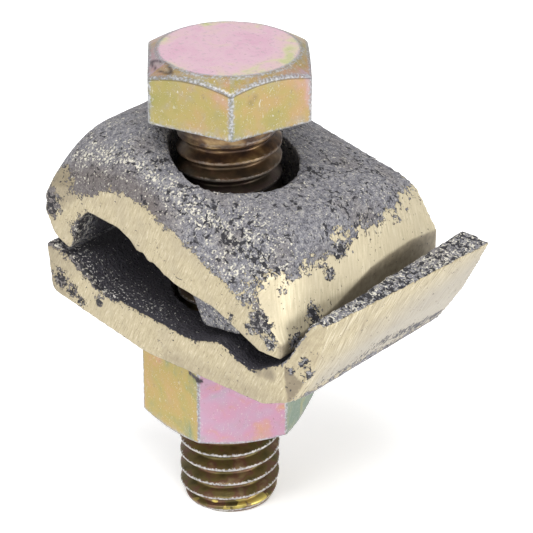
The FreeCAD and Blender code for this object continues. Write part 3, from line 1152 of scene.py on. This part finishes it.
def zinc_material(name, film_shades, dullness):
    """Iridescent yellow plating, worn silvery along its edges, with a pink film on the head."""
    zinc = Surface(name)
    drift = zinc.noise(3.0, 2.0, distortion=0.8) - 0.5
    mottle = zinc.noise(0.8, 4.0) - 0.5
    fine = zinc.noise(0.22, 3.0)
    top = zinc.attribute("top")

    # Film on the sides and on the top
    film = zinc.ramp((zinc.attribute("tint") + drift * 0.8 + mottle * 0.2).clamped(), film_shades)
    dull = zinc.window(zinc.noise(1.1, 5.0), 0.5, 0.72)
    film = zinc.blend(dull * dullness, film, film_dull)
    top_tint = (zinc.attribute("inner") + drift * 1.9 + mottle * 0.35).clamped()
    top_marks = zinc.window(zinc.noise(0.45, 5.0), 0.55, 0.68)
    top_film = zinc.blend(top_marks * 0.4, zinc.ramp(top_tint, top_shades), top_mark)
    film = zinc.blend(top, film, top_film)

    # Haze, silver and marks near the edges
    near_edge = zinc.window(zinc.attribute("haze"), 0.0, 1.0)
    hazy = near_edge * zinc.window(zinc.noise(0.5, 5.0), 0.44, 0.6)
    film = zinc.blend(hazy * 0.6, film, film_haze)
    worn = zinc.window(zinc.attribute("edge") + (fine - 0.5) * 1.3, 0.42, 1.0)
    color = zinc.blend(worn * 0.9, film, zinc.ramp(fine, edge_silver))
    scuffed = zinc.window(zinc.noise(1.9, 3.0), 0.47, 0.6)
    long_noise = zinc.noise(0.3, 3.0, stretch=(1.0, 1.0, 0.5), distortion=1.4)
    long_marks = zinc.window(long_noise, 0.645, 0.7)
    flecks = zinc.window(zinc.noise(0.15, 2.0), 0.64, 0.7)
    marks = zinc.largest(long_marks, flecks) * zinc.largest(scuffed, near_edge, 0.45)
    color = zinc.blend(marks * 0.7, color, bright_mark)
    dark_noise = zinc.noise(0.34, 3.0, stretch=(1.0, 1.6, 1.0), distortion=1.0)
    color = zinc.blend(zinc.window(dark_noise, 0.66, 0.71) * 0.45, color, dark_mark)
    # Dirt, and painted shade in the gap at the nut's top corner
    color = zinc.blend(zinc.attribute("dirt_and_gap_shade"), color, dirt_and_gap_shade_color)
    return zinc.finished({
        "Base Color": color,
        "Metallic": 0.4,
        "Roughness": zinc.choose(top, zinc.choose(worn, 0.36, 0.46), 0.68),
        "Normal": zinc.bump(mottle * 0.8 - marks * 0.5, 0.05, 0.8),
    })


def thread_material():
    """Olive-brown plating in the thread, with silvery crests, a bronze neck, and painted shade in
    the hole and on one side of the neck.
    """
    zinc = Surface("thread_zinc")
    tint = zinc.attribute("tint")
    thread_shade = zinc.attribute("thread_shade")
    fine = zinc.noise(0.26, 4.0)
    drift = zinc.noise(1.6, 3.0, stretch=(1.0, 1.0, 1.6))
    color = zinc.blend(tint, zinc.ramp(drift, flank_shades), zinc.ramp(drift, neck_shades))
    # Painted shade in the hole and on the neck's shaded side; it and nearness to the head dim the
    # silver crests
    color = zinc.blend(thread_shade, color, thread_shade_color)
    worn = zinc.window(zinc.attribute("edge") + (fine - 0.5) * 1.9, 0.42, 0.72)
    dimmed = (thread_shade + tint * 0.5).clamped()
    color = zinc.blend(worn * (1.0 - dimmed), color, zinc.ramp(fine, crest_silver))
    glint_room = zinc.window(zinc.noise(1.3, 2.0), 0.56, 0.62)
    color = zinc.blend(zinc.attribute("point") * glint_room, color, point_glint)
    return zinc.finished({
        "Base Color": color,
        "Metallic": 0.8,
        "Roughness": zinc.choose(worn, 0.34, 0.42),
        "Normal": zinc.bump(fine - worn, 0.03, 0.6),
    })


def floor_material():
    floor = Surface("pale_floor")
    return floor.finished({
        "Base Color": floor.ramp(floor.noise(60.0, 2.0), floor_shades),
        "Roughness": 0.9,
        "Specular IOR Level": 0.1,
        "Emission Color": white,
        "Emission Strength": 0.35,
    })


# Studio

def make_floor():
    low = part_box("hex_bolt")[0]
    level = low[2] - floor_gap
    around = ((-1, -1), (1, -1), (1, 1), (-1, 1))
    corners = [(x * floor_half_width, y * floor_half_width, level) for x, y in around]
    mesh = bpy.data.meshes.new("studio_floor")
    mesh.from_pydata(corners, [], [(0, 1, 2, 3)])
    floor = new_object("studio_floor", mesh)
    floor.data.materials.append(floor_material())


def direction_to(azimuth, elevation):
    """Direction from the object, with azimuth 0 to its front and a quarter turn to its right."""
    return Vector((
        math.sin(azimuth) * math.cos(elevation),
        -math.cos(azimuth) * math.cos(elevation),
        math.sin(elevation),
    ))


def make_camera():
    back = direction_to(view_azimuth, view_elevation)
    level_right = direction_to(view_azimuth + math.pi / 2.0, 0.0)
    level_up = back.cross(level_right)
    right = level_right * math.cos(view_roll) + level_up * math.sin(view_roll)
    up = level_up * math.cos(view_roll) - level_right * math.sin(view_roll)
    data = bpy.data.cameras.new("camera")
    data.lens = lens
    data.sensor_width = sensor_width
    data.clip_start = 0.01
    camera = new_object("camera", data)
    turn = Matrix((right, up, back)).transposed().to_4x4()
    spot = back * view_distance + right * view_shift_right + up * view_shift_up
    camera.matrix_world = Matrix.Translation(spot) @ turn
    scene.camera = camera


def area_light(name, azimuth, elevation, distance, width, power):
    """Square lamp aimed at the object."""
    data = bpy.data.lights.new(name, "AREA")
    data.size = width
    data.energy = power
    lamp = new_object(name, data)
    direction = direction_to(math.radians(azimuth), math.radians(elevation))
    lamp.location = direction * distance
    lamp.rotation_euler = direction.to_track_quat("Z", "Y").to_euler()


def make_lights():
    world = bpy.data.worlds.new("studio")
    world.use_nodes = True
    background = world.node_tree.nodes["Background"]
    background.inputs["Color"].default_value = white
    background.inputs["Strength"].default_value = world_strength
    scene.world = world
    for lamp in lamps:
        area_light(*lamp)
    scene.view_settings.view_transform = "Standard"


# The object

def dress(piece, node, body, slot, *materials):
    for material in materials:
        piece.data.materials.append(material)
    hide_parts(node)
    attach(piece, body)


make_camera()
make_floor()
make_lights()

cast_bronze = casting_material()
base = make_casting("clamp_base", "clamp_base_cast", base_fields)
saddle = make_casting("clamp_saddle", "clamp_saddle_cast", saddle_fields, arch_burrs)
dress(base, "clamp_base", "base", "casting", cast_bronze)
dress(saddle, "clamp_saddle", "saddle", "casting", cast_bronze)
head_zinc = zinc_material("head_zinc", head_shades, 0.4)
dress(make_bolt(), "hex_bolt", "bolt", "plated_steel", head_zinc, thread_material())
dress(make_nut(), "hex_nut", "nut", "plated_steel", zinc_material("nut_zinc", nut_shades, 0.15))
